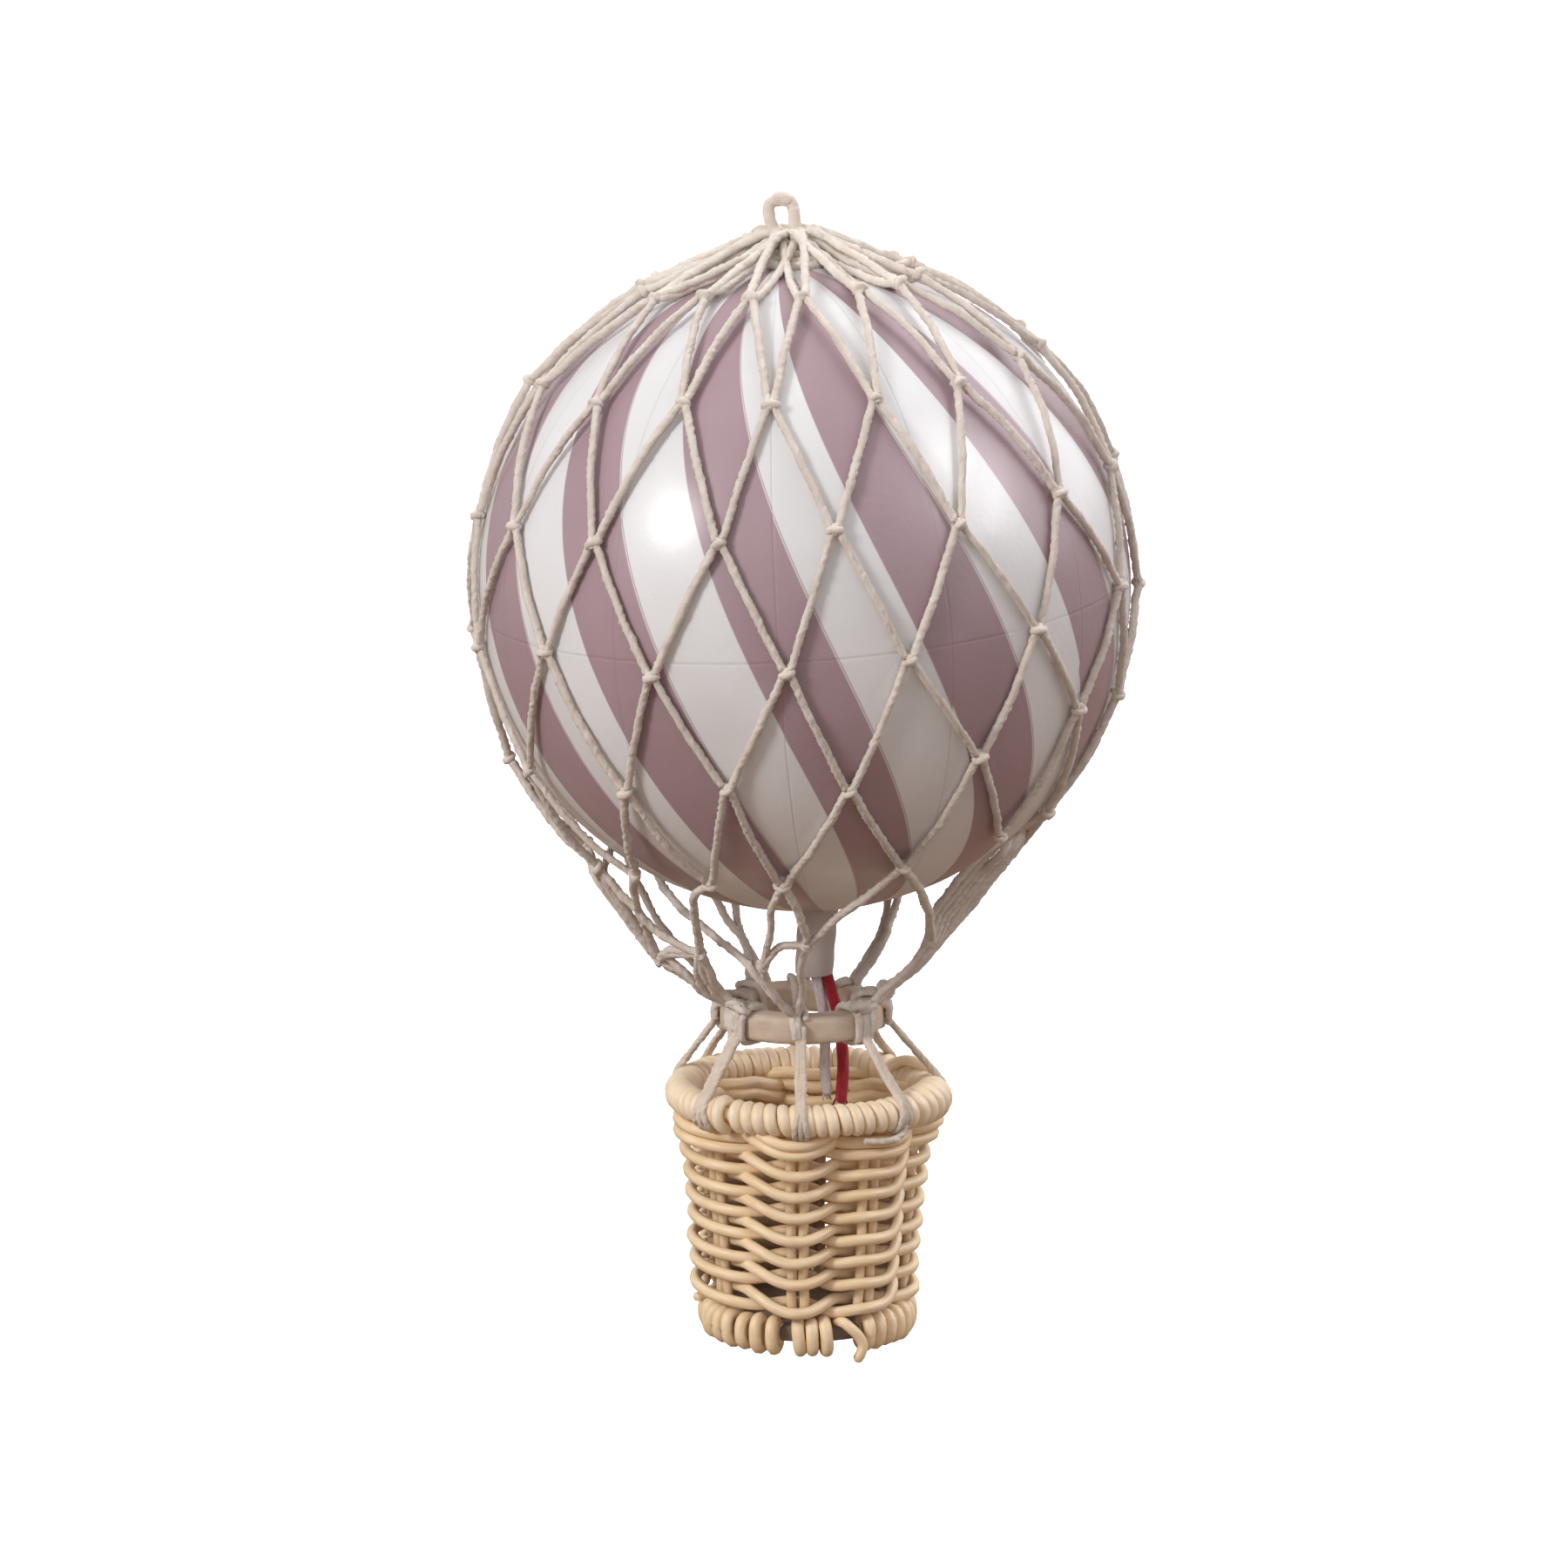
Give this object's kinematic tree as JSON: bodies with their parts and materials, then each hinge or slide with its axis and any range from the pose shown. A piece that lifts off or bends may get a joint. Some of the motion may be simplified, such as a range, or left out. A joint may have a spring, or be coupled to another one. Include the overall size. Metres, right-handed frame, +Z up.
{
  "type": "hanging toy balloon",
  "caption": "Decorative hanging balloon: a paper covered ball in a knotted net, with a wood ring under it and a woven cane basket on cord stays.",
  "frame": {"origin": "inner top of the hanging loop, where it rests on its hook", "axes": "+Z up, +X to the right, -Y to the front"},
  "size_m": [0.1035, 0.1036, 0.1778],
  "materials": {
    "cotton": "twisted cotton cord, matte",
    "paper": "glazed paper in mauve and white stripes",
    "wood": "turned light wood, sanded",
    "cane": "natural cane, satin",
    "board": "grey-brown fibre board",
    "white_ribbon": "frayed white ribbon",
    "red_ribbon": "frayed red ribbon"
  },
  "bodies": {
    "balloon": {"envelope": "paper", "envelope_neck": "paper", "hanging_loop": "cotton", "net_crown": "cotton", "net": "cotton", "load_ring": "wood", "ribbon_white": "white_ribbon", "ribbon_red": "red_ribbon", "net_leg_1": "cotton", "ring_lashing_1": "cotton", "basket_stay_1": "cotton", "net_leg_2": "cotton", "ring_lashing_2": "cotton", "basket_stay_2": "cotton", "net_leg_3": "cotton", "ring_lashing_3": "cotton", "basket_stay_3": "cotton", "net_leg_4": "cotton", "ring_lashing_4": "cotton", "basket_stay_4": "cotton", "net_leg_5": "cotton", "ring_lashing_5": "cotton", "basket_stay_5": "cotton", "net_leg_6": "cotton", "ring_lashing_6": "cotton", "basket_stay_6": "cotton", "net_leg_7": "cotton", "ring_lashing_7": "cotton", "basket_stay_7": "cotton", "net_leg_8": "cotton", "ring_lashing_8": "cotton", "basket_stay_8": "cotton"},
    "basket": {"basket_rim": "cane", "basket_weaver_1": "cane", "basket_weaver_2": "cane", "basket_base": "board", "base_wrap": "cane", "basket_stake_1": "cane", "basket_stake_2": "cane", "basket_stake_3": "cane", "basket_stake_4": "cane", "basket_stake_5": "cane", "basket_stake_6": "cane", "basket_stake_7": "cane", "basket_stake_8": "cane"}
  },
  "joints": [
    {"name": "basket_swing", "type": "hinge", "parent": "balloon", "child": "basket", "pos_m": [0.0041, 0, -0.117], "axis": [0, 1, 0], "range_deg": [-10, 10], "deforming": ["basket_stay_1", "basket_stay_2", "basket_stay_3", "basket_stay_4", "basket_stay_5", "basket_stay_6", "basket_stay_7", "basket_stay_8"]}
  ]
}
